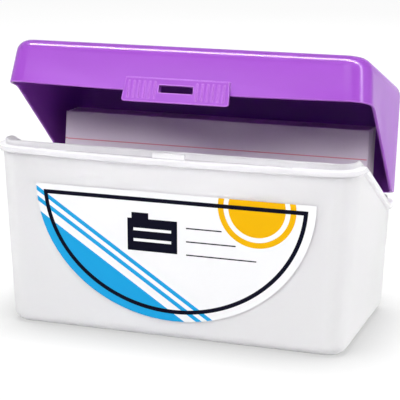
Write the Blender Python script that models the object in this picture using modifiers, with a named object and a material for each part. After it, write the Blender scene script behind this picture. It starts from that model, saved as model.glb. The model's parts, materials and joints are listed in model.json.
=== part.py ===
"""Hinged file box for 5 x 3 inch index cards, shown with its lid ajar.

Metres, +Z up. X runs along the width, Y to the rear, and the origin is the middle of the underside.
The box is a frosted tub, a lid that snaps on two hinge pins behind it, a label and a pack of ruled cards.
The tub and the lid meet at a parting line that is level at the front and drops along the sides to the rear.
"""
import math

import bmesh
import bpy
from mathutils import Matrix, Vector

# Index cards: the pack leans back a little, and its cards lie a little out of line.
CARD_WIDTH = 0.1270
CARD_HEIGHT = 0.0762
CARD_THICKNESS = 0.0003
CARD_GAP = 0.0003
CARD_COUNT = 20
CARD_LEAN = math.radians(7)
CARD_FRONT_ROOM = 0.0355
CARD_SIDE_PLAY = 0.0026
CARD_SHIFT_SHARE = 0.35
CARD_STAGGER_SHARE = 0.30
STAGGER_TURN = math.radians(137.5)

# Tub: its walls lean out from the underside, and its width leaves the cards their play.
TUB_BOTTOM_DEPTH = 0.0746
TUB_DRAFT = math.radians(2.35)
TUB_CORNER_RADIUS = 0.0080
TUB_EDGE_RADIUS = 0.0045
TUB_INNER_EDGE_RADIUS = 0.0015
TUB_WALL = 0.0018
TUB_FLOOR = 0.0020
TUB_BOTTOM_WIDTH = CARD_WIDTH + 2 * (CARD_SIDE_PLAY + TUB_WALL)

# Lid: its wall, its rounded top edge, and how far its top lies inside its lower edge on each side.
LID_WALL = 0.0012
LID_EDGE_RADIUS = 0.0050
LID_TOP_CORNER_RADIUS = 0.0095
LID_SIDE_INSET = 0.0012
LID_FRONT_INSET = 0.0004
LID_REAR_INSET = 0.0054
LID_SEAT_GAP = 0.0003
LID_HEADROOM = 0.0097
LID_HEIGHT = TUB_FLOOR + CARD_GAP + CARD_HEIGHT + LID_HEADROOM + LID_WALL
AJAR_ANGLE = math.radians(16.5)

# Parting line: level at the front, sloping along the sides, level again at the rear.
LID_FRONT_RISE = 0.0177
PARTING_DROP = 0.0258
PARTING_FRONT_HEIGHT = LID_HEIGHT - LID_FRONT_RISE
PARTING_REAR_HEIGHT = PARTING_FRONT_HEIGHT - PARTING_DROP
PARTING_BOW = 0.0010
SLOPE_FRONT_RUN = 0.0037
SLOPE_REAR_RUN = 0.0047
SLOPE_BLEND = 0.0024

# Shoulder that carries the closed lid, and the thin lip that the lid's skirt goes over.
SHOULDER_OUT = 0.0015
SHOULDER_HEIGHT = 0.0024
LIP_HEIGHT = 0.0020
LIP_THICKNESS = 0.0008
LIP_INSET = TUB_WALL - LIP_THICKNESS
EDGE_ROUND = 0.0003

# Latch: the catch on the tub, and the tab on the lid with its slot and grip ribs.
CATCH_WIDTH = 0.0126
CATCH_HEIGHT = 0.0021
CATCH_TOP_OUT = 0.0009
CATCH_BOTTOM_OUT = 0.0014
CATCH_SIDE_PLAY = 0.00045
SLOT_WIDTH = CATCH_WIDTH + 2 * CATCH_SIDE_PLAY
SLOT_ABOVE_PARTING = 0.0019
SLOT_BELOW_PARTING = 0.0010
TAB_TOP_WIDTH = 0.0410
TAB_BOTTOM_WIDTH = 0.0424
TAB_ABOVE_PARTING = 0.0045
TAB_BELOW_PARTING = 0.0049
TAB_TOP_RAISE = 0.0011
TAB_TIP_RAISE = 0.0019
TAB_TIP_THICKNESS = 0.0006
TAB_CLEARANCE = 0.0003
TAB_CORNER_RADIUS = 0.0012
TAB_EDGE_BEVEL = 0.0002
RIB_COUNT = 6
RIB_PITCH = 0.0021
RIB_RADIUS = 0.0005
RIB_PROUD = 0.00025
RIB_END_MARGIN = 0.0014
RIB_SIDE_MARGIN = 0.0012

# Hinge: two pins behind the tub, each between two ears, and a hook on the lid round each pin.
HINGE_SPACING = 0.0840
HINGE_ABOVE_PARTING = 0.0020
PIN_RADIUS = 0.0014
PIN_CLEARANCE = 0.0003
HOOK_WALL = 0.0010
HOOK_WIDTH = 0.0090
HOOK_SIDE_GAP = 0.0004
HOOK_MOUTH_ANGLE = math.radians(110)
HOOK_MOUTH_DIRECTION = math.radians(-70)
HOOK_ARM_LENGTH = 0.0007
HOOK_ARM_HEIGHT = 0.0026
HINGE_BEHIND_SHOULDER = PIN_RADIUS + PIN_CLEARANCE + HOOK_WALL + HOOK_ARM_LENGTH
EAR_WIDTH = 0.0018
EAR_WALL = 0.0012
EAR_RADIUS = PIN_RADIUS + EAR_WALL
EAR_HEEL_BACK = 0.0025
EAR_HEEL_RISE = 0.0005
EAR_GUSSET_DROP = 0.0090

# Label on the front wall: its margins to the wall's flat stretch, the shoulder and the underside.
LABEL_SIDE_MARGIN = 0.0068
LABEL_TOP_MARGIN = 0.0115
LABEL_BOTTOM_MARGIN = 0.0078
LABEL_SHIFT_X = 0.0015
LABEL_THICKNESS = 0.0002
LABEL_GAP = 0.0003

# How finely round stretches are divided, and the overrun of every cut and fused end.
CORNER_STEPS = 8
EDGE_STEPS = 4
FRONT_STEPS = 8
SIDE_STEPS = 4
LABEL_STEPS = 40
ARC_STEPS = 16
OVERRUN = 0.0006

PARTS = "index_card_file_box"
CUTTERS = "index_card_file_box_tools"


def clear_scene():
    for item in list(bpy.data.objects):
        bpy.data.objects.remove(item, do_unlink=True)


def new_collection(name):
    collection = bpy.data.collections.new(name)
    bpy.context.scene.collection.children.link(collection)
    return collection


def plastic(name, colour, roughness, transmission=0.0):
    """A Principled material with the part's colour and finish."""
    material = bpy.data.materials.new(name)
    material.use_nodes = True
    shader = material.node_tree.nodes["Principled BSDF"]
    shader.inputs["Base Color"].default_value = (*colour, 1.0)
    shader.inputs["Roughness"].default_value = roughness
    shader.inputs["Metallic"].default_value = 0.0
    shader.inputs["Transmission Weight"].default_value = transmission
    material.diffuse_color = (*colour, 1.0)
    return material


def add_object(name, mesh, collection, material=None):
    item = bpy.data.objects.new(name, mesh)
    collection.objects.link(item)
    if material is not None and not mesh.materials:
        mesh.materials.append(material)
    return item


def mesh_from(name, bm, smooth_angle=None):
    """Turns a bmesh into a mesh with outward faces, shaded smooth below the angle if one is given."""
    bmesh.ops.recalc_face_normals(bm, faces=bm.faces)
    mesh = bpy.data.meshes.new(name)
    bm.to_mesh(mesh)
    bm.free()
    if smooth_angle is not None:
        mesh.shade_smooth()
        mesh.set_sharp_from_angle(angle=smooth_angle)
    return mesh


def tub_half_width(height):
    return TUB_BOTTOM_WIDTH / 2 + math.tan(TUB_DRAFT) * height


def tub_half_depth(height):
    return TUB_BOTTOM_DEPTH / 2 + math.tan(TUB_DRAFT) * height


def slope_ends():
    """The y where the parting line starts to drop and the y where it is level again."""
    straight = tub_half_depth(PARTING_FRONT_HEIGHT) - TUB_CORNER_RADIUS
    return SLOPE_FRONT_RUN - straight, straight - SLOPE_REAR_RUN


def outline_stations():
    """The places round the box's outline that every ring goes through, anticlockwise from the right front.

    Each is (share across, share along, normal x, normal y): the shares place the centre of the corner
    radius between the middle and the corner, and the normal points out of the wall.
    """
    straight_depth = tub_half_depth(PARTING_FRONT_HEIGHT) - TUB_CORNER_RADIUS
    slope_start, slope_end = slope_ends()
    blend_shares = (-1.0, -0.5, 0.0, 0.5, 1.0)
    side_ys = [slope_start + share * SLOPE_BLEND for share in blend_shares]
    run = slope_end - slope_start
    side_ys += [slope_start + run * step / SIDE_STEPS for step in range(1, SIDE_STEPS)]
    side_ys += [slope_end + share * SLOPE_BLEND for share in blend_shares]
    side_shares = [y / straight_depth for y in side_ys]
    front_shares = [2 * step / FRONT_STEPS - 1 for step in range(1, FRONT_STEPS)]

    def corner(across, along, first_angle):
        steps = range(CORNER_STEPS + 1)
        angles = [math.radians(first_angle + 90 * step / CORNER_STEPS) for step in steps]
        return [(across, along, math.cos(angle), math.sin(angle)) for angle in angles]

    stations = corner(1, -1, -90)
    stations += [(1, share, 1, 0) for share in side_shares]
    stations += corner(1, 1, 0)
    stations += corner(-1, 1, 90)
    stations += [(-1, share, -1, 0) for share in reversed(side_shares)]
    stations += corner(-1, -1, 180)
    stations += [(share, -1, 0, -1) for share in front_shares]
    return stations


def ramp(distance):
    """Zero before its start and equal to the distance after it, with a rounded knee between."""
    if distance <= -SLOPE_BLEND:
        return 0.0
    if distance >= SLOPE_BLEND:
        return distance
    return (distance + SLOPE_BLEND) ** 2 / (4 * SLOPE_BLEND)


def level_parting(station):
    """Height of the parting line at a station, without the bow of its front."""
    half_depth = tub_half_depth(PARTING_FRONT_HEIGHT)
    y = station[1] * (half_depth - TUB_CORNER_RADIUS) + TUB_CORNER_RADIUS * station[3]
    slope_start, slope_end = slope_ends()
    slope = PARTING_DROP / (slope_end - slope_start)
    return PARTING_FRONT_HEIGHT - slope * (ramp(y - slope_start) - ramp(y - slope_end))


def parting(station):
    """Height of the parting line: its front stretch sags a little toward the middle."""
    half_width = tub_half_width(PARTING_FRONT_HEIGHT)
    x = station[0] * (half_width - TUB_CORNER_RADIUS) + TUB_CORNER_RADIUS * station[2]
    facing_front = max(0.0, -station[3])
    return level_parting(station) - PARTING_BOW * facing_front * (1 - (x / half_width) ** 2)


def tub_point(station, offset, height):
    """A point on the tub's wall, moved out of it by the offset."""
    across, along, normal_x, normal_y = station
    x = across * (tub_half_width(height) - TUB_CORNER_RADIUS)
    y = along * (tub_half_depth(height) - TUB_CORNER_RADIUS)
    reach = TUB_CORNER_RADIUS + offset
    return Vector((x + reach * normal_x, y + reach * normal_y, height))


def lid_top_point(station, offset, height):
    """A point on the rounded rectangle of the lid's top, moved out by the offset."""
    across, along, normal_x, normal_y = station
    front = LID_FRONT_INSET - SHOULDER_OUT - tub_half_depth(PARTING_FRONT_HEIGHT)
    rear = tub_half_depth(PARTING_REAR_HEIGHT) + SHOULDER_OUT - LID_REAR_INSET
    half_width = tub_half_width(PARTING_FRONT_HEIGHT) + SHOULDER_OUT - LID_SIDE_INSET
    x = across * (half_width - LID_TOP_CORNER_RADIUS)
    y = (front + rear) / 2 + along * ((rear - front) / 2 - LID_TOP_CORNER_RADIUS)
    reach = LID_TOP_CORNER_RADIUS + offset
    return Vector((x + reach * normal_x, y + reach * normal_y, height))


def lid_wall_point(station, offset, rise):
    """A point on the lid's wall, a given rise above its lower edge."""
    low = parting(station) + LID_SEAT_GAP
    high = LID_HEIGHT - LID_EDGE_RADIUS
    share = rise / (high - low)
    bottom = tub_point(station, SHOULDER_OUT + offset, low)
    top = lid_top_point(station, offset, high)
    return bottom.lerp(top, share)


def loft(name, rings):
    """A closed solid through the rings in turn, with the first and the last filled."""
    bm = bmesh.new()
    rows = [[bm.verts.new(point) for point in ring] for ring in rings]
    count = len(rows[0])
    for lower, upper in zip(rows, rows[1:]):
        for index in range(count):
            following = (index + 1) % count
            bm.faces.new((lower[index], lower[following], upper[following], upper[index]))
    bm.faces.new(rows[0])
    bm.faces.new(rows[-1])
    return mesh_from(name, bm, smooth_angle=math.radians(35))


def quarter_steps(steps):
    return [math.pi / 2 * step / steps for step in range(steps + 1)]


def tub_mesh():
    stations = outline_stations()

    def level_ring(offset, height):
        return [tub_point(station, offset, height) for station in stations]

    def parting_ring(offset, rise):
        return [tub_point(station, offset, parting(station) + rise) for station in stations]

    def rim_ring(offset, drop):
        heights = [level_parting(station) + LIP_HEIGHT - drop for station in stations]
        return [tub_point(station, offset, height) for station, height in zip(stations, heights)]

    rings = []
    for angle in quarter_steps(EDGE_STEPS):
        inset = TUB_EDGE_RADIUS * (1 - math.sin(angle))
        rings.append(level_ring(-inset, TUB_EDGE_RADIUS * (1 - math.cos(angle))))
    rings.append(parting_ring(0, -SHOULDER_HEIGHT))
    rings.append(parting_ring(SHOULDER_OUT - EDGE_ROUND, -SHOULDER_HEIGHT))
    rings.append(parting_ring(SHOULDER_OUT, EDGE_ROUND - SHOULDER_HEIGHT))
    rings.append(parting_ring(SHOULDER_OUT, -EDGE_ROUND))
    rings.append(parting_ring(SHOULDER_OUT - EDGE_ROUND, 0))
    rings.append(parting_ring(-LIP_INSET, 0))
    rings.append(rim_ring(-LIP_INSET, EDGE_ROUND))
    rings.append(rim_ring(-LIP_INSET - EDGE_ROUND, 0))
    rings.append(rim_ring(EDGE_ROUND - TUB_WALL, 0))
    rings.append(rim_ring(-TUB_WALL, EDGE_ROUND))
    for angle in reversed(quarter_steps(EDGE_STEPS)):
        inset = TUB_WALL + TUB_INNER_EDGE_RADIUS * (1 - math.sin(angle))
        rings.append(level_ring(-inset, TUB_FLOOR + TUB_INNER_EDGE_RADIUS * (1 - math.cos(angle))))
    return loft("tub", rings)


def lid_mesh():
    stations = outline_stations()

    def wall_ring(offset, rise):
        return [lid_wall_point(station, offset, rise) for station in stations]

    def top_ring(offset, height):
        return [lid_top_point(station, offset, height) for station in stations]

    rings = []
    centre_height = LID_HEIGHT - LID_EDGE_RADIUS
    for angle in reversed(quarter_steps(EDGE_STEPS + 1)):
        inset = LID_EDGE_RADIUS * (1 - math.cos(angle))
        rings.append(top_ring(-inset, centre_height + LID_EDGE_RADIUS * math.sin(angle)))
    rings.append(wall_ring(0, EDGE_ROUND))
    rings.append(wall_ring(-EDGE_ROUND, 0))
    rings.append(wall_ring(EDGE_ROUND - LID_WALL, 0))
    rings.append(wall_ring(-LID_WALL, EDGE_ROUND))
    inner_radius = LID_EDGE_RADIUS - LID_WALL
    for angle in quarter_steps(EDGE_STEPS + 1):
        inset = LID_WALL + inner_radius * (1 - math.cos(angle))
        rings.append(top_ring(-inset, centre_height + inner_radius * math.sin(angle)))
    return loft("lid", rings)


def prism(name, outline, along, start, length):
    """A flat outline pushed along X, where it lies in Y and Z, or along Y, where it lies in X and Z."""
    bm = bmesh.new()
    if along == "X":
        points = [Vector((start, u, v)) for u, v in outline]
        step = Vector((length, 0, 0))
    else:
        points = [Vector((u, start, v)) for u, v in outline]
        step = Vector((0, length, 0))
    face = bm.faces.new([bm.verts.new(point) for point in points])
    pushed = bmesh.ops.extrude_face_region(bm, geom=[face])
    moved = [item for item in pushed["geom"] if isinstance(item, bmesh.types.BMVert)]
    bmesh.ops.translate(bm, verts=moved, vec=step)
    return mesh_from(name, bm)


def add_rod(bm, radius, length, segments, place):
    """A round rod along the Z axis of its placing matrix."""
    bmesh.ops.create_cone(
        bm, cap_ends=True, segments=segments, radius1=radius, radius2=radius, depth=length, matrix=place
    )


def arc_points(centre, radius, first, last, steps):
    angles = [first + (last - first) * step / steps for step in range(steps + 1)]
    return [(centre[0] + radius * math.cos(a), centre[1] + radius * math.sin(a)) for a in angles]


def add_tool(target, tool, operation, parent=None):
    """Fuses a tool with a part, or cuts it away, and keeps the tool out of the finished object."""
    tool.hide_render = True
    tool.display_type = "WIRE"
    if parent is not None:
        tool.parent = parent
    step = target.modifiers.new(tool.name, "BOOLEAN")
    step.operation = operation
    step.object = tool
    step.solver = "EXACT"


def hinge_place():
    """The hinge axis as (y, z)."""
    rear_face = tub_half_depth(PARTING_REAR_HEIGHT) + SHOULDER_OUT
    return rear_face + HINGE_BEHIND_SHOULDER, PARTING_REAR_HEIGHT + HINGE_ABOVE_PARTING


def hinge_centres():
    return {"left": -HINGE_SPACING / 2, "right": HINGE_SPACING / 2}


def ear_outline():
    """An ear round the pin: round in front, square behind to stop the lid, on a gusset down the wall."""
    axis_y, axis_z = hinge_place()
    foot_height = PARTING_REAR_HEIGHT - SHOULDER_HEIGHT - EAR_GUSSET_DROP
    shoulder_height = PARTING_REAR_HEIGHT - EDGE_ROUND
    wall_inside = tub_half_depth(foot_height) - OVERRUN
    shoulder_face = tub_half_depth(PARTING_REAR_HEIGHT) + SHOULDER_OUT
    outline = [(wall_inside, foot_height), (axis_y + EAR_HEEL_BACK, axis_z - EAR_RADIUS)]
    outline.append((axis_y + EAR_HEEL_BACK, axis_z + EAR_RADIUS + EAR_HEEL_RISE))
    outline += arc_points((axis_y, axis_z), EAR_RADIUS, math.radians(90), math.radians(200), ARC_STEPS // 2)
    outline.append((shoulder_face, shoulder_height))
    outline.append((wall_inside, shoulder_height))
    return outline


def add_tub_hinges(tub, tools):
    axis_y, axis_z = hinge_place()
    inner = HOOK_WIDTH / 2 + HOOK_SIDE_GAP
    for side, centre in hinge_centres().items():
        for hand, start in (("outer", inner), ("inner", -inner - EAR_WIDTH)):
            name = f"ear_{side}_{hand}"
            mesh = prism(name, ear_outline(), "X", centre + start, EAR_WIDTH)
            add_tool(tub, add_object(name, mesh, tools), "UNION")
        bm = bmesh.new()
        place = Matrix.Translation((centre, axis_y, axis_z)) @ Matrix.Rotation(math.pi / 2, 4, "Y")
        add_rod(bm, PIN_RADIUS, 2 * inner + 2 * OVERRUN, ARC_STEPS, place)
        pin = add_object(f"pin_{side}", mesh_from(f"pin_{side}", bm), tools)
        add_tool(tub, pin, "UNION")


def add_lid_hooks(lid, tools, axis):
    """Each hook is a ring with a mouth, so that it snaps over its pin, on a short arm from the lid's wall."""
    axis_y, axis_z = hinge_place()
    bore = PIN_RADIUS + PIN_CLEARANCE
    outer = bore + HOOK_WALL
    first = HOOK_MOUTH_DIRECTION + HOOK_MOUTH_ANGLE / 2
    last = HOOK_MOUTH_DIRECTION - HOOK_MOUTH_ANGLE / 2 + 2 * math.pi
    ring = arc_points((0, 0), outer, first, last, ARC_STEPS)
    ring += arc_points((0, 0), bore, last, first, ARC_STEPS)
    lid_face = -HINGE_BEHIND_SHOULDER - OVERRUN
    arm_low = OVERRUN + LID_SEAT_GAP - HINGE_ABOVE_PARTING
    arm = [(lid_face, arm_low), (-bore - HOOK_WALL / 2, arm_low)]
    arm += [(-bore - HOOK_WALL / 2, arm_low + HOOK_ARM_HEIGHT), (lid_face, arm_low + HOOK_ARM_HEIGHT)]
    for side, centre in hinge_centres().items():
        for label, outline in (("hook", ring), ("arm", arm)):
            name = f"{label}_{side}"
            tool = add_object(name, prism(name, outline, "X", centre - HOOK_WIDTH / 2, HOOK_WIDTH), tools)
            add_tool(lid, tool, "UNION", axis)


def tab_outline():
    """The tab seen from the front, from the parting line: narrower above, with round lower corners."""
    radius = TAB_CORNER_RADIUS
    half_top = TAB_TOP_WIDTH / 2
    half_bottom = TAB_BOTTOM_WIDTH / 2
    low = radius - TAB_BELOW_PARTING
    steps = EDGE_STEPS
    outline = [(half_top, TAB_ABOVE_PARTING), (-half_top, TAB_ABOVE_PARTING)]
    outline += arc_points((radius - half_bottom, low), radius, math.pi, 1.5 * math.pi, steps)
    outline += arc_points((half_bottom - radius, low), radius, -0.5 * math.pi, 0, steps)
    return outline


def tab_lines(level):
    """How far the tab's face and back stand out of the lid's front at a level above the parting line."""
    top_share = (level + TAB_BELOW_PARTING) / (TAB_ABOVE_PARTING + TAB_BELOW_PARTING)
    face = TAB_TIP_RAISE + (TAB_TOP_RAISE - TAB_TIP_RAISE) * top_share
    tip_share = -level / TAB_BELOW_PARTING
    back = TAB_CLEARANCE + (TAB_TIP_RAISE - TAB_TIP_THICKNESS - TAB_CLEARANCE) * tip_share
    return face, back


def tab_plate_mesh(front_y, parting_z):
    """The tab leans out toward its tip, so that it clears the shoulder as the lid turns."""
    outline = [(x, z + parting_z) for x, z in tab_outline()]
    mesh = prism("tab_plate", outline, "Y", front_y, TAB_TOP_RAISE)
    for vertex in mesh.vertices:
        face, back = tab_lines(vertex.co.z - parting_z)
        on_face = vertex.co.y < front_y + TAB_TOP_RAISE / 2
        vertex.co.y = front_y - (face if on_face else back)
    return mesh


def tab_rib_mesh(front_y, parting_z):
    """Upright grip ribs, one set on each side of the slot, sunk into the tab's leaning face."""
    bm = bmesh.new()
    low = -TAB_BELOW_PARTING + RIB_END_MARGIN
    high = TAB_ABOVE_PARTING - RIB_END_MARGIN
    tilt = math.atan2(tab_lines(low)[0] - tab_lines(high)[0], high - low)
    middle = (low + high) / 2
    length = (high - low) / math.cos(tilt)
    first_x = TAB_TOP_WIDTH / 2 - RIB_SIDE_MARGIN - RIB_RADIUS
    y = front_y - tab_lines(middle)[0] + RIB_RADIUS - RIB_PROUD
    for hand in (-1, 1):
        for index in range(RIB_COUNT):
            place = Matrix.Translation((hand * (first_x - index * RIB_PITCH), y, parting_z + middle))
            add_rod(bm, RIB_RADIUS, length, 2 * EDGE_STEPS, place @ Matrix.Rotation(-tilt, 4, "X"))
    return mesh_from("tab_ribs", bm)


def add_latch_tab(lid, tools, axis):
    """The raised tab stands clear of the shoulder below the lid's edge and is one with the wall above it."""
    axis_y, axis_z = hinge_place()
    front_y = -tub_half_depth(PARTING_FRONT_HEIGHT) - SHOULDER_OUT - axis_y
    parting_z = PARTING_FRONT_HEIGHT - axis_z
    plate = add_object("tab_plate", tab_plate_mesh(front_y, parting_z), tools)
    bevel = plate.modifiers.new("edges", "BEVEL")
    bevel.width = TAB_EDGE_BEVEL
    bevel.segments = 1
    bevel.limit_method = "ANGLE"
    bevel.angle_limit = math.radians(60)
    add_tool(lid, plate, "UNION", axis)

    half = TAB_TOP_WIDTH / 2 - TAB_EDGE_BEVEL
    root_low = parting_z + LID_SEAT_GAP
    root_high = parting_z + TAB_ABOVE_PARTING - TAB_EDGE_BEVEL
    root = [(-half, root_low), (half, root_low), (half, root_high), (-half, root_high)]
    root_out = TAB_TOP_RAISE / 2
    tool = add_object("tab_root", prism("tab_root", root, "Y", front_y - root_out, root_out + OVERRUN), tools)
    add_tool(lid, tool, "UNION", axis)
    add_tool(lid, add_object("tab_ribs", tab_rib_mesh(front_y, parting_z), tools), "UNION", axis)

    half = SLOT_WIDTH / 2
    low = parting_z - SLOT_BELOW_PARTING
    high = parting_z + SLOT_ABOVE_PARTING
    slot = [(-half, low), (half, low), (half, high), (-half, high)]
    start = front_y - TAB_TIP_RAISE - OVERRUN
    through = TAB_TIP_RAISE + LID_WALL + 2 * OVERRUN
    tool = add_object("tab_slot", prism("tab_slot", slot, "Y", start, through), tools)
    add_tool(lid, tool, "DIFFERENCE", axis)


def add_catch(tub, tools):
    """The catch on the lip, with a sloping face that the tab rides down."""
    low = PARTING_FRONT_HEIGHT - PARTING_BOW - EDGE_ROUND
    high = PARTING_FRONT_HEIGHT - PARTING_BOW + CATCH_HEIGHT
    lip_low = -tub_half_depth(low) + LIP_INSET
    lip_high = -tub_half_depth(high) + LIP_INSET
    outline = [(lip_low + OVERRUN, low), (lip_low - CATCH_BOTTOM_OUT, low)]
    outline += [(lip_high - CATCH_TOP_OUT, high), (lip_high + OVERRUN, high)]
    catch = add_object("catch", prism("catch", outline, "X", -CATCH_WIDTH / 2, CATCH_WIDTH), tools)
    add_tool(tub, catch, "UNION")


def build_tub(parts, tools):
    material = plastic("frosted_plastic", (0.86, 0.85, 0.88), 0.45, transmission=0.3)
    tub = add_object("tub", tub_mesh(), parts, material)
    add_tub_hinges(tub, tools)
    add_catch(tub, tools)
    return tub


def build_lid(parts, tools):
    axis_y, axis_z = hinge_place()
    axis = bpy.data.objects.new("lid_hinge_axis", None)
    axis.location = (0, axis_y, axis_z)
    parts.objects.link(axis)
    mesh = lid_mesh()
    mesh.transform(Matrix.Translation((0, -axis_y, -axis_z)))
    lid = add_object("lid", mesh, parts, plastic("violet_plastic", (0.45, 0.13, 0.74), 0.3))
    lid.parent = axis
    add_lid_hooks(lid, tools, axis)
    add_latch_tab(lid, tools, axis)
    axis.rotation_euler = (-AJAR_ANGLE, 0, 0)
    return lid


def build_label(parts):
    """A die-cut label with a straight top and a half-oval below, lying along the leaning front wall."""
    top = PARTING_FRONT_HEIGHT - SHOULDER_HEIGHT - LABEL_TOP_MARGIN
    half = tub_half_width(top) - TUB_CORNER_RADIUS - LABEL_SIDE_MARGIN
    depth = (top - LABEL_BOTTOM_MARGIN) / math.cos(TUB_DRAFT)
    angles = [math.pi + math.pi * step / LABEL_STEPS for step in range(LABEL_STEPS + 1)]
    outline = [(half * math.cos(a), depth * math.sin(a)) for a in angles]
    mesh = prism("front_label", outline, "Y", -LABEL_THICKNESS, LABEL_THICKNESS)
    label = add_object("front_label", mesh, parts, plastic("label_paper", (0.95, 0.95, 0.95), 0.5))
    label.location = (LABEL_SHIFT_X, -tub_half_depth(top) - LABEL_GAP, top)
    label.rotation_euler = (TUB_DRAFT, 0, 0)
    return label


def build_cards(parts):
    """Cards in a row from the front, leaning back, each a little to one side of the last."""
    bm = bmesh.new()
    bmesh.ops.create_cube(bm, size=1.0)
    bmesh.ops.scale(bm, verts=bm.verts, vec=Vector((CARD_WIDTH, CARD_THICKNESS, CARD_HEIGHT)))
    bmesh.ops.translate(bm, verts=bm.verts, vec=Vector((0, CARD_THICKNESS / 2, CARD_HEIGHT / 2)))
    mesh = mesh_from("index_card", bm)
    paper = plastic("card_paper", (0.93, 0.92, 0.93), 0.8)
    pitch = (CARD_THICKNESS + CARD_GAP) / math.cos(CARD_LEAN)
    first_y = CARD_FRONT_ROOM + TUB_WALL - TUB_BOTTOM_DEPTH / 2
    foot_height = TUB_FLOOR + CARD_GAP + CARD_THICKNESS * math.sin(CARD_LEAN)
    for index in range(CARD_COUNT):
        card = add_object(f"index_card_{index + 1:02d}", mesh, parts, paper)
        shift_share = CARD_SHIFT_SHARE + CARD_STAGGER_SHARE * math.sin(STAGGER_TURN * (index + 1))
        card.location = (CARD_SIDE_PLAY * shift_share, first_y + pitch * index, foot_height)
        card.rotation_euler = (-CARD_LEAN, 0, 0)


def main():
    clear_scene()
    parts = new_collection(PARTS)
    tools = new_collection(CUTTERS)
    build_tub(parts, tools)
    build_lid(parts, tools)
    build_label(parts)
    build_cards(parts)


main()
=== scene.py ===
"""Looks of the index card box: finishes, printed label, ruled cards, studio light and camera.

Everything is in metres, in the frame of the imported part: X to the right, Y to the hinged rear, Z up.
"""
import json
import math
from collections import namedtuple

import bmesh
import bpy
from mathutils import Matrix, Vector

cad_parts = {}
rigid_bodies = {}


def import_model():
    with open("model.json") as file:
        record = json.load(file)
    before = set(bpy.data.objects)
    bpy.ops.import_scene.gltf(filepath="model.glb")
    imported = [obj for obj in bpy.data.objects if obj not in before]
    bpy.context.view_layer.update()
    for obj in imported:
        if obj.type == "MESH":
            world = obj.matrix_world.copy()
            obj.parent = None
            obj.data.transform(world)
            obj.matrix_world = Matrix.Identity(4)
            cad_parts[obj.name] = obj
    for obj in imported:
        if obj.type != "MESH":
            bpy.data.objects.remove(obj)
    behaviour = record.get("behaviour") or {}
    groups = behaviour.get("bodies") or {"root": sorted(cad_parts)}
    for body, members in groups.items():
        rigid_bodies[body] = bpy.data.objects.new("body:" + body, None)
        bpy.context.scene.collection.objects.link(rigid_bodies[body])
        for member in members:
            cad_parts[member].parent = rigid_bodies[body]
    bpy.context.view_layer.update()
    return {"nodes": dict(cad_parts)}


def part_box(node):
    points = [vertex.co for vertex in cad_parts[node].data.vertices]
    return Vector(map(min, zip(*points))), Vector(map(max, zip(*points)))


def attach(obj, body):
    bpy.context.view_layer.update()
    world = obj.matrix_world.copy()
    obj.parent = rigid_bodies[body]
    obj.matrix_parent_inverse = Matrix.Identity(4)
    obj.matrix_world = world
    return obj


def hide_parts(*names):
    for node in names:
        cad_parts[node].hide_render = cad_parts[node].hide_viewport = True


# Camera, fitted to the outline of the box in the photograph. Its angles are in radians.
FOCAL_LENGTH_MM = 125.98
SENSOR_WIDTH_MM = 36.0
CAMERA_TARGET = Vector((-0.00094, 0.0, 0.04706))
CAMERA_DISTANCE = 0.56148
CAMERA_YAW = 0.3248
CAMERA_PITCH = 0.2197
CAMERA_ROLL = 0.0123
CAMERA_CLIP_START = 0.01

# Softboxes that look at the middle of the box. Each stands at an angle in degrees round from the front and
# one up from level, and its power is in watts. A "light" isn't mirrored, a "glint" is only mirrored, and
# "both" is mirrored and gives light.
Softbox = namedtuple("Softbox", "name azimuth elevation distance width height power role")
BOX_MIDDLE = Vector((0.0, 0.0, 0.05))
SOFTBOXES = (
    Softbox("key", 18, 42, 1.2, 0.60, 0.40, 6.4, "both"),
    Softbox("high_key", 18, 56, 1.2, 0.60, 0.30, 2.4, "light"),
    Softbox("fill", -35, 34, 1.2, 0.60, 0.30, 3.9, "light"),
    Softbox("front", -8, 30, 1.2, 0.60, 0.20, 3.4, "light"),
    Softbox("side_right", 108, 14, 1.1, 0.50, 0.30, 6.3, "light"),
    Softbox("side_left", -108, 14, 1.1, 0.50, 0.30, 2.0, "light"),
    Softbox("rear", 180, 32, 1.2, 0.60, 0.40, 8.0, "light"),
    Softbox("front_panel", -20, 21, 1.2, 0.50, 0.32, 4.8, "glint"),
    Softbox("corner_strip", 84, 40, 1.1, 0.03, 1.05, 24.0, "glint"),
    Softbox("top_strip", 0, 88, 1.0, 1.50, 0.04, 90.0, "glint"),
)

# Sky: its colour, the strength where it is seen, and the strength of its light elsewhere, which grows from
# the first value to the second between two heights of its direction.
SKY_COLOUR = (0.8, 0.8, 0.8)
SKY_SEEN = 1.0
SKY_LIGHT = (0.01, 0.08)
SKY_HEIGHTS = (0.30, 0.95)

# Floor: how far it reaches each way, the grey that throws light back, and the dim grey and glow that are
# seen. The glow sinks as a painted shadow under and beside the box, where less of the space within the
# shade's reach is open.
FLOOR_REACH = 6.0
FLOOR_CELLS = 8
FLOOR_GREY = (0.70, 0.70, 0.70)
FLOOR_SEEN_GREY = (0.10, 0.10, 0.10)
FLOOR_GLOW_WITH_PAINTED_SHADOW = (0.54, 0.95)
FLOOR_OPENNESS = (0.40, 1.0)
FLOOR_SHADE_REACH = 0.030
FLOOR_SHADE_SAMPLES = 16

# Mouldings: their rounded edges, and what counts as a doubled corner or a flat joint of two faces.
WELD_DISTANCE = 2e-6
FLAT_ANGLE = math.radians(0.4)
EDGE_ANGLE = math.radians(32)
EDGE_SEGMENTS = 2
TUB_EDGE_WIDTH = 0.00012
LID_EDGE_WIDTH = 0.00014
PLASTIC_IOR = 1.49
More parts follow.
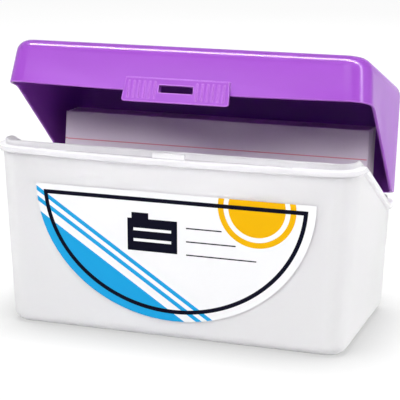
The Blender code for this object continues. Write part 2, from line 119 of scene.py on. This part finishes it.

# Violet plastic: soft clouds of colour, painted highlights as light lines along its edges, and gloss and
# relief that vary.
VIOLET = (0.335, 0.074, 0.555)
VIOLET_CLOUD_SIZE = 0.030
VIOLET_CLOUD_SHARE = 0.96
VIOLET_EDGE_HIGHLIGHT = (0.560, 0.220, 0.740)
VIOLET_HIGHLIGHT_REACH = 0.00090
VIOLET_ROUGHNESS = (0.20, 0.29)
VIOLET_GLOSS_SIZE = 0.0100
VIOLET_SPECULAR = 0.11
VIOLET_GRAIN_SIZE = 0.00035
VIOLET_GRAIN_DEPTH = 0.000006
VIOLET_WAVE_SIZE = 0.012
VIOLET_WAVE_DEPTH = 0.00004

# Painted highlights along edges: the rays that find an edge, and how far a normal that is rounded there
# still agrees with the surface where a highlight starts and where it is full.
EDGE_HIGHLIGHT_SAMPLES = 8
EDGE_HIGHLIGHT_AGREEMENT = (0.990, 0.930)

# Frosted plastic: soft clouds, a satin grain, and light that spreads inside it. What faces up, and the thin
# front edge of the shoulder, get painted shade: a share of the walls' white that darkens them where they
# catch more light. A face starts to count as upward at the first slope of its normal, and counts fully at
# the second.
FROSTED_WHITE = (0.962, 0.944, 0.984)
FROSTED_CLOUD_SIZE = 0.026
FROSTED_CLOUD_SHARE = 0.975
FROSTED_UPWARD_PAINTED_SHADE = 0.89
UPWARD_SHADE_SLOPE = (0.15, 0.60)
FROSTED_SHOULDER_PAINTED_SHADE = 0.76
SHADED_SHOULDER_HEIGHT = 0.0699
SHADED_SHOULDER_WIDTH = 0.0026
FROSTED_ROUGHNESS = (0.50, 0.66)
FROSTED_GLOSS_SIZE = 0.0080
FROSTED_SPECULAR = 0.08
FROSTED_SPREAD = 0.0065
FROSTED_SPREAD_BY_COLOUR = (1.0, 0.98, 1.0)
FROSTED_GRAIN_SIZE = 0.00030
FROSTED_GRAIN_DEPTH = 0.000008

# Cards: their height and lean, and the ruling, measured from the top edge. It is printed only where the
# normal lies along Y by more than the face slope, and it stops short of the right edge.
CARD_HEIGHT = 0.0762
CARD_LEAN = math.radians(7)
HEAD_RULE_DROP = 0.0112
HEAD_RULE_WIDTH = 0.00045
HEAD_RULE_RED = (0.740, 0.290, 0.360)
BODY_RULE_PITCH = 0.00635
BODY_RULE_WIDTH = 0.00028
BODY_RULE_BLUE = (0.330, 0.520, 0.740)
RULE_END_MARGIN = 0.0004
CARD_FACE_SLOPE = 0.5
CARD_WHITE = (0.810, 0.720, 0.815)
CARD_FIBRE_SHARE = 0.95
CARD_FIBRE_SIZE = 0.0009
CARD_FIBRE_DETAIL = 4.0
CARD_FIBRE_ROUGHNESS = 0.65
CARD_FIBRE_DEPTH = 0.00002
CARD_ROUGHNESS = 0.82
CARD_SPECULAR = 0.05

# Label: its lean, which is the front wall's, and its coated paper.
LABEL_LEAN = math.radians(2.35)
LABEL_WHITE = (0.865, 0.865, 0.880)
LABEL_INK = (0.002, 0.002, 0.010)
LABEL_AMBER = (0.815, 0.435, 0.002)
LABEL_BLUE = (0.013, 0.338, 0.686)
LABEL_FLECK_SHARE = 0.98
LABEL_FLECK_SIZE = 0.0012
LABEL_FLECK_DETAIL = 3.0
LABEL_ROUGHNESS = (0.30, 0.44)
LABEL_GLOSS_SIZE = 0.0020
LABEL_IOR = 1.5
LABEL_SPECULAR = 0.06
LABEL_GRAIN_SIZE = 0.0006
LABEL_GRAIN_DEPTH = 0.000006

# Label: the printed line that follows its outline.
KEYLINE_INSET = 0.0038
KEYLINE_TOP_INSET = 0.0030
KEYLINE_WIDTH = 0.0016

# Label: a blue field at the lower left and two stripes above it. Their edges are slanting lines, and their
# places are measured at right angles to those lines, in a direction with one part across and one part down.
SLANT_ACROSS = -0.55
SLANT_DOWN = 0.835
FIELD_START = 0.0390
STRIPE_MIDDLES = (0.0352, 0.0320)
STRIPE_WIDTH = 0.0016

# Label: an amber sun that hangs from the printed line at the right, as discs from large to small.
SUN_ACROSS = 0.0330
SUN_DISCS = ((0.0150, LABEL_AMBER), (0.0128, LABEL_WHITE), (0.0110, LABEL_AMBER))

# Label: a dark tabbed card with two pale rules on it, and three write-in rules beside it. Their sides are
# measured across from the label's middle and down from its top edge.
Bar = namedtuple("Bar", "left right top bottom colour")
LABEL_BARS = (
    Bar(-0.0180, 0.0020, 0.0105, 0.0232, LABEL_INK),
    Bar(-0.0163, -0.0095, 0.0082, 0.0110, LABEL_INK),
    Bar(-0.0156, -0.0004, 0.0142, 0.0153, LABEL_WHITE),
    Bar(-0.0156, -0.0004, 0.0184, 0.0195, LABEL_WHITE),
    Bar(0.0055, 0.0195, 0.0125, 0.0130, LABEL_INK),
    Bar(0.0055, 0.0250, 0.0177, 0.0182, LABEL_INK),
    Bar(0.0055, 0.0330, 0.0229, 0.0234, LABEL_INK),
)

# Sockets of the Mix node. Those for numbers and vectors come before the ones for colours.
MIX_SHARE = 0
MIX_FIRST_COLOUR = 6
MIX_SECOND_COLOUR = 7
MIX_RESULT_COLOUR = 2


class Nodes:
    """A node tree and short calls that add nodes to it."""

    def __init__(self, tree):
        self.tree = tree

    def feed(self, socket, value):
        """Gives a socket a value, or links another node's output to it. A colour gets a full alpha."""
        if isinstance(value, bpy.types.NodeSocket):
            self.tree.links.new(value, socket)
        elif socket.type == "RGBA":
            socket.default_value = (*value, 1.0)
        else:
            socket.default_value = value

    def add(self, kind, settings=None, inputs=None):
        """A node with its settings and inputs, where an input is a value or another node's output."""
        node = self.tree.nodes.new(kind)
        for key, value in (settings or {}).items():
            setattr(node, key, value)
        for key, value in (inputs or {}).items():
            self.feed(node.inputs[key], value)
        return node

    def axes(self, vector):
        """The parts of a vector, by the names X, Y and Z."""
        return self.add("ShaderNodeSeparateXYZ", inputs={0: vector}).outputs

    def calc(self, operation, first, second=0.0, third=0.0):
        """A number worked out from up to three others."""
        node = self.add("ShaderNodeMath", {"operation": operation}, {0: first, 1: second, 2: third})
        return node.outputs[0]

    def ramp(self, value, start=(0.0, 1.0), end=(0.0, 1.0)):
        """A value brought from the range of the start pair to that of the end pair, and kept inside it."""
        ranges = {"From Min": start[0], "From Max": start[1], "To Min": end[0], "To Max": end[1]}
        return self.add("ShaderNodeMapRange", inputs={"Value": value, **ranges}).outputs["Result"]

    def mix_shaders(self, share, first, second):
        """The second node's shader by the share, and the first node's by the rest."""
        inputs = {0: share, 1: first.outputs[0], 2: second.outputs[0]}
        return self.add("ShaderNodeMixShader", inputs=inputs)

    def is_seen_directly(self):
        """One for rays from the camera and for mirrored and refracted ones, zero for all other light."""
        path = self.add("ShaderNodeLightPath").outputs
        clear = self.calc("MAXIMUM", path["Is Camera Ray"], path["Is Glossy Ray"])
        return self.calc("MAXIMUM", clear, path["Is Transmission Ray"])


class Look(Nodes):
    """A new material's node tree and shader."""

    def __init__(self, name):
        self.material = bpy.data.materials.new(name)
        self.material.use_nodes = True
        super().__init__(self.material.node_tree)
        self.shader = self.tree.nodes["Principled BSDF"]

    def place(self):
        """The place on the object at rest, in metres."""
        return self.add("ShaderNodeTexCoord").outputs["Object"]

    def facing(self):
        """The direction that the surface faces."""
        return self.add("ShaderNodeNewGeometry").outputs["Normal"]

    def noise(self, size, detail=2.0, roughness=0.5):
        """Even noise from 0 to 1 whose grains are about as large as the size."""
        inputs = {"Vector": self.place(), "Scale": 1 / size, "Detail": detail, "Roughness": roughness}
        return self.add("ShaderNodeTexNoise", inputs=inputs).outputs["Fac"]

    def mix(self, share, first, second):
        """A colour between the first and the second."""
        inputs = {MIX_SHARE: share, MIX_FIRST_COLOUR: first, MIX_SECOND_COLOUR: second}
        return self.add("ShaderNodeMix", {"data_type": "RGBA"}, inputs).outputs[MIX_RESULT_COLOUR]

    def clouded(self, noise, colour, share):
        """A colour that sinks to a share of itself where the noise is high."""
        return self.mix(noise, colour, shaded(colour, share))

    def edge_highlight_mask(self, reach):
        """Where painted highlights go: one along sharp edges and zero away from them, fading over about the
        reach.
        """
        rounded = self.add("ShaderNodeBevel", {"samples": EDGE_HIGHLIGHT_SAMPLES}, {"Radius": reach})
        inputs = {0: rounded.outputs["Normal"], 1: self.facing()}
        agreement = self.add("ShaderNodeVectorMath", {"operation": "DOT_PRODUCT"}, inputs)
        return self.ramp(agreement.outputs["Value"], start=EDGE_HIGHLIGHT_AGREEMENT)

    def set(self, **values):
        """Gives the shader's sockets values or links, with underscores for the spaces in their names."""
        for key, value in values.items():
            self.feed(self.shader.inputs[key.replace("_", " ")], value)

    def set_relief(self, *heights):
        """Adds up fine relief, given as pairs of a height field and its depth in metres."""
        below = {}
        for field, depth in heights:
            inputs = {"Height": field, "Distance": depth, "Strength": 1.0, **below}
            below = {"Normal": self.add("ShaderNodeBump", inputs=inputs).outputs["Normal"]}
        self.set(**below)


def shaded(colour, share):
    """A colour brought down to a share of itself."""
    return tuple(share * part for part in colour)


def violet_plastic():
    """The lid's opaque plastic, with a soft gloss and painted highlights along its sharp edges."""
    look = Look("violet_plastic")
    colour = look.clouded(look.noise(VIOLET_CLOUD_SIZE), VIOLET, VIOLET_CLOUD_SHARE)
    # Painted highlight: the colour turns a lighter violet along sharp edges.
    look.set(Base_Color=look.mix(look.edge_highlight_mask(VIOLET_HIGHLIGHT_REACH), colour, VIOLET_EDGE_HIGHLIGHT))
    look.set(Roughness=look.ramp(look.noise(VIOLET_GLOSS_SIZE, detail=0.0), end=VIOLET_ROUGHNESS))
    look.set(IOR=PLASTIC_IOR, Specular_IOR_Level=VIOLET_SPECULAR)
    grain = look.noise(VIOLET_GRAIN_SIZE)
    waves = look.noise(VIOLET_WAVE_SIZE)
    look.set_relief((grain, VIOLET_GRAIN_DEPTH), (waves, VIOLET_WAVE_DEPTH))
    return look.material


def frosted_plastic():
    """The tub's translucent plastic, with a satin surface and painted shade on its upward faces and the
    shoulder's front edge.
    """
    look = Look("frosted_plastic")
    colour = look.clouded(look.noise(FROSTED_CLOUD_SIZE), FROSTED_WHITE, FROSTED_CLOUD_SHARE)
    # Painted shade: faces that look up are darkened to a share of the white.
    upward_shade = look.ramp(look.axes(look.facing())["Z"], start=UPWARD_SHADE_SLOPE)
    colour = look.mix(upward_shade, colour, shaded(FROSTED_WHITE, FROSTED_UPWARD_PAINTED_SHADE))
    # Painted shade: a thin band at the shoulder's front edge, found by its height, is darkened further.
    height = look.axes(look.place())["Z"]
    shoulder_shade = look.calc("COMPARE", height, SHADED_SHOULDER_HEIGHT, SHADED_SHOULDER_WIDTH / 2)
    look.set(Base_Color=look.mix(shoulder_shade, colour, shaded(FROSTED_WHITE, FROSTED_SHOULDER_PAINTED_SHADE)))
    look.set(Roughness=look.ramp(look.noise(FROSTED_GLOSS_SIZE, detail=0.0), end=FROSTED_ROUGHNESS))
    look.set(IOR=PLASTIC_IOR, Specular_IOR_Level=FROSTED_SPECULAR)
    look.set(Subsurface_Weight=1.0, Subsurface_Scale=FROSTED_SPREAD)
    look.set(Subsurface_Radius=FROSTED_SPREAD_BY_COLOUR)
    look.set_relief((look.noise(FROSTED_GRAIN_SIZE), FROSTED_GRAIN_DEPTH))
    return look.material


def card_paper():
    """Paper with a red head rule and blue rules below it, on the faces of the cards only."""
    look = Look("card_paper")
    lowest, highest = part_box("index_card_01")
    here = look.axes(look.place())
    rise = look.calc("MULTIPLY", look.calc("SUBTRACT", here["Z"], lowest.z), 1 / math.cos(CARD_LEAN))
    drop = look.calc("SUBTRACT", CARD_HEIGHT, rise)
    head = look.calc("COMPARE", drop, HEAD_RULE_DROP, HEAD_RULE_WIDTH / 2)
    below = look.calc("SUBTRACT", drop, HEAD_RULE_DROP + BODY_RULE_PITCH / 2)
    within = look.calc("MODULO", below, BODY_RULE_PITCH)
    body = look.calc("COMPARE", within, BODY_RULE_PITCH / 2, BODY_RULE_WIDTH / 2)
    body = look.calc("MULTIPLY", body, look.calc("GREATER_THAN", below, 0.0))
    slope = look.calc("ABSOLUTE", look.axes(look.facing())["Y"])
    on_face = look.calc("GREATER_THAN", slope, CARD_FACE_SLOPE)
    before_end = look.calc("LESS_THAN", here["X"], highest.x - RULE_END_MARGIN)
    printed = look.calc("MULTIPLY", on_face, before_end)
    fibre = look.noise(CARD_FIBRE_SIZE, CARD_FIBRE_DETAIL, CARD_FIBRE_ROUGHNESS)
    colour = look.clouded(fibre, CARD_WHITE, CARD_FIBRE_SHARE)
    colour = look.mix(look.calc("MULTIPLY", body, printed), colour, BODY_RULE_BLUE)
    colour = look.mix(look.calc("MULTIPLY", head, printed), colour, HEAD_RULE_RED)
    look.set(Base_Color=colour, Roughness=CARD_ROUGHNESS, Specular_IOR_Level=CARD_SPECULAR)
    look.set_relief((fibre, CARD_FIBRE_DEPTH))
    return look.material


class LabelPrint(Look):
    """The label's material, with its printing placed across from its middle and down from its top edge."""

    def __init__(self, name):
        super().__init__(name)
        lowest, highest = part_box("front_label")
        self.half_width = (highest.x - lowest.x) / 2
        self.depth = (highest.z - lowest.z) / math.cos(LABEL_LEAN)
        here = self.axes(self.place())
        drop = self.calc("SUBTRACT", highest.z, here["Z"])
        self.across = self.calc("SUBTRACT", here["X"], (highest.x + lowest.x) / 2)
        self.down = self.calc("MULTIPLY", drop, 1 / math.cos(LABEL_LEAN))

    def length(self, first, second):
        """The length of a vector with two parts."""
        squares = self.calc("ADD", self.calc("POWER", first, 2.0), self.calc("POWER", second, 2.0))
        return self.calc("SQRT", squares)

    def inside_outline(self, inset, top_inset):
        """How far a place lies inside the inset half-oval, in metres, close enough near its outline.

        It is what the reach still lacks of one, divided by how fast the reach grows there.
        """
        across_scale = 1 / (self.half_width - inset)
        down_scale = 1 / (self.depth - inset)
        u = self.calc("MULTIPLY", self.across, across_scale)
        v = self.calc("MULTIPLY", self.down, down_scale)
        reach = self.length(u, v)
        slope = self.length(self.calc("MULTIPLY", u, across_scale), self.calc("MULTIPLY", v, down_scale))
        lacking = self.calc("MULTIPLY", self.calc("SUBTRACT", 1.0, reach), reach)
        gap = self.calc("DIVIDE", lacking, slope)
        return self.calc("MINIMUM", gap, self.calc("SUBTRACT", self.down, top_inset))

    def disc(self, centre_across, centre_down, radius):
        """One inside a circle and zero outside."""
        u = self.calc("SUBTRACT", self.across, centre_across)
        v = self.calc("SUBTRACT", self.down, centre_down)
        return self.calc("LESS_THAN", self.length(u, v), radius)

    def bar(self, left, right, top, bottom):
        """One inside an upright rectangle and zero outside."""
        wide = self.calc("COMPARE", self.across, (left + right) / 2, (right - left) / 2)
        high = self.calc("COMPARE", self.down, (top + bottom) / 2, (bottom - top) / 2)
        return self.calc("MULTIPLY", wide, high)


def printed_label():
    """A white sticker with a dark line along its outline, amber and blue motifs and write-in rules."""
    look = LabelPrint("printed_label")
    flecks = look.noise(LABEL_FLECK_SIZE, LABEL_FLECK_DETAIL)
    colour = look.clouded(flecks, LABEL_WHITE, LABEL_FLECK_SHARE)
    slant_across = look.calc("MULTIPLY", look.across, SLANT_ACROSS)
    slant = look.calc("ADD", slant_across, look.calc("MULTIPLY", look.down, SLANT_DOWN))
    colour = look.mix(look.calc("GREATER_THAN", slant, FIELD_START), colour, LABEL_BLUE)
    for middle in STRIPE_MIDDLES:
        colour = look.mix(look.calc("COMPARE", slant, middle, STRIPE_WIDTH / 2), colour, LABEL_BLUE)
    for radius, ink in SUN_DISCS:
        colour = look.mix(look.disc(SUN_ACROSS, KEYLINE_TOP_INSET, radius), colour, ink)
    for bar in LABEL_BARS:
        colour = look.mix(look.bar(bar.left, bar.right, bar.top, bar.bottom), colour, bar.colour)
    inside = look.inside_outline(KEYLINE_INSET, KEYLINE_TOP_INSET)
    colour = look.mix(look.calc("COMPARE", inside, 0.0, KEYLINE_WIDTH / 2), colour, LABEL_INK)
    look.set(Base_Color=colour)
    look.set(Roughness=look.ramp(look.noise(LABEL_GLOSS_SIZE), end=LABEL_ROUGHNESS))
    look.set(IOR=LABEL_IOR, Specular_IOR_Level=LABEL_SPECULAR)
    look.set_relief((look.noise(LABEL_GRAIN_SIZE), LABEL_GRAIN_DEPTH))
    return look.material


def clear_scene():
    """Removes whatever the new file starts with."""
    for item in list(bpy.data.objects):
        bpy.data.objects.remove(item, do_unlink=True)


def add_object(name, data):
    """A new object in the scene that holds a mesh, a lamp or a camera."""
    item = bpy.data.objects.new(name, data)
    bpy.context.scene.collection.objects.link(item)
    return item


def mesh_from(bm, name):
    """A mesh made from a bmesh, which is then freed."""
    mesh = bpy.data.meshes.new(name)
    bm.to_mesh(mesh)
    bm.free()
    return mesh


def add_moulded_copy(node, name, body, material, edge_width):
    """A finer copy of a moulded CAD node: joined corners, smooth curves and rounded edges."""
    bm = bmesh.new()
    bm.from_mesh(frame["nodes"][node].data)
    bmesh.ops.remove_doubles(bm, verts=bm.verts, dist=WELD_DISTANCE)
    bmesh.ops.dissolve_limit(bm, angle_limit=FLAT_ANGLE, verts=bm.verts, edges=bm.edges)
    bmesh.ops.recalc_face_normals(bm, faces=bm.faces)
    mesh = mesh_from(bm, name)
    mesh.shade_smooth()
    mesh.set_sharp_from_angle(angle=EDGE_ANGLE)
    mesh.materials.append(material)
    piece = add_object(name, mesh)
    bevel = piece.modifiers.new("rounded_edges", "BEVEL")
    bevel.width = edge_width
    bevel.segments = EDGE_SEGMENTS
    bevel.limit_method = "ANGLE"
    bevel.angle_limit = EDGE_ANGLE
    bevel.harden_normals = True
    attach(piece, body)
    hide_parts(node)


def finish_node(node, material):
    """Gives a CAD node that keeps its own mesh its finish."""
    mesh = frame["nodes"][node].data
    mesh.materials.clear()
    mesh.materials.append(material)


def add_world():
    """Pale where it is seen, and elsewhere a soft light from above that fades toward the horizon."""
    world = bpy.data.worlds.new("studio")
    bpy.context.scene.world = world
    world.use_nodes = True
    world.node_tree.nodes.clear()
    nodes = Nodes(world.node_tree)
    height = nodes.axes(nodes.add("ShaderNodeTexCoord").outputs["Generated"])["Z"]
    light = nodes.ramp(height, SKY_HEIGHTS, SKY_LIGHT)
    lighting = nodes.add("ShaderNodeBackground", inputs={"Color": SKY_COLOUR, "Strength": light})
    seen = nodes.add("ShaderNodeBackground", inputs={"Color": SKY_COLOUR, "Strength": SKY_SEEN})
    sky = nodes.mix_shaders(nodes.is_seen_directly(), lighting, seen)
    nodes.add("ShaderNodeOutputWorld", inputs={"Surface": sky.outputs[0]})


def add_floor():
    """A wide pale floor: nearly white where it is seen, with the object's shadow on it, real on its dim
    grey and painted into its glow.
    """
    bm = bmesh.new()
    bmesh.ops.create_grid(bm, x_segments=FLOOR_CELLS, y_segments=FLOOR_CELLS, size=FLOOR_REACH)
    mesh = mesh_from(bm, "floor")
    look = Look("floor")
    look.tree.nodes.remove(look.shader)
    lighting = look.add("ShaderNodeBsdfDiffuse", inputs={"Color": FLOOR_GREY})
    settings = {"samples": FLOOR_SHADE_SAMPLES}
    openness = look.add("ShaderNodeAmbientOcclusion", settings, {"Distance": FLOOR_SHADE_REACH})
    # Painted shadow: the glow sinks where the box hems the floor in.
    painted_shadow_glow = look.ramp(openness.outputs["AO"], FLOOR_OPENNESS, FLOOR_GLOW_WITH_PAINTED_SHADOW)
    glow = look.add("ShaderNodeEmission", inputs={"Strength": painted_shadow_glow})
    pale = look.add("ShaderNodeBsdfDiffuse", inputs={"Color": FLOOR_SEEN_GREY})
    seen = look.add("ShaderNodeAddShader", inputs={0: pale.outputs[0], 1: glow.outputs[0]})
    surface = look.mix_shaders(look.is_seen_directly(), lighting, seen)
    look.feed(look.tree.nodes["Material Output"].inputs["Surface"], surface.outputs[0])
    mesh.materials.append(look.material)
    floor = add_object("floor", mesh)


def add_softbox(softbox):
    """A rectangular lamp that looks at the middle of the box."""
    light = bpy.data.lights.new(softbox.name, "AREA")
    light.shape = "RECTANGLE"
    light.size = softbox.width
    light.size_y = softbox.height
    light.energy = softbox.power
    azimuth = math.radians(softbox.azimuth)
    elevation = math.radians(softbox.elevation)
    flat = math.cos(elevation)
    away = Vector((math.sin(azimuth) * flat, -math.cos(azimuth) * flat, math.sin(elevation)))
    lamp = add_object(softbox.name, light)
    lamp.location = BOX_MIDDLE + away * softbox.distance
    lamp.rotation_euler = away.to_track_quat("Z", "Y").to_euler()
    lamp.visible_camera = False
    lamp.visible_diffuse = softbox.role != "glint"
    lamp.visible_glossy = softbox.role != "light"


def add_camera():
    """The camera that sees the box as the photograph does."""
    flat = math.cos(CAMERA_PITCH)
    forward = Vector((-math.sin(CAMERA_YAW) * flat, math.cos(CAMERA_YAW) * flat, -math.sin(CAMERA_PITCH)))
    level = Vector((math.cos(CAMERA_YAW), math.sin(CAMERA_YAW), 0))
    upright = level.cross(forward)
    right = math.cos(CAMERA_ROLL) * level + math.sin(CAMERA_ROLL) * upright
    up = math.cos(CAMERA_ROLL) * upright - math.sin(CAMERA_ROLL) * level
    data = bpy.data.cameras.new("camera")
    data.lens = FOCAL_LENGTH_MM
    data.sensor_width = SENSOR_WIDTH_MM
    data.clip_start = CAMERA_CLIP_START
    camera = add_object("camera", data)
    axes = Matrix((right, up, -forward)).transposed().to_4x4()
    camera.matrix_world = Matrix.Translation(CAMERA_TARGET - forward * CAMERA_DISTANCE) @ axes
    bpy.context.scene.camera = camera


clear_scene()
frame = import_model()

add_camera()
add_world()
add_floor()
for softbox in SOFTBOXES:
    add_softbox(softbox)
bpy.context.scene.view_settings.view_transform = "Standard"

add_moulded_copy("tub", "frosted_tub", "box", frosted_plastic(), TUB_EDGE_WIDTH)
add_moulded_copy("lid", "violet_lid", "lid", violet_plastic(), LID_EDGE_WIDTH)
finish_node("front_label", printed_label())
paper = card_paper()
for node in frame["nodes"]:
    if node.startswith("index_card"):
        finish_node(node, paper)
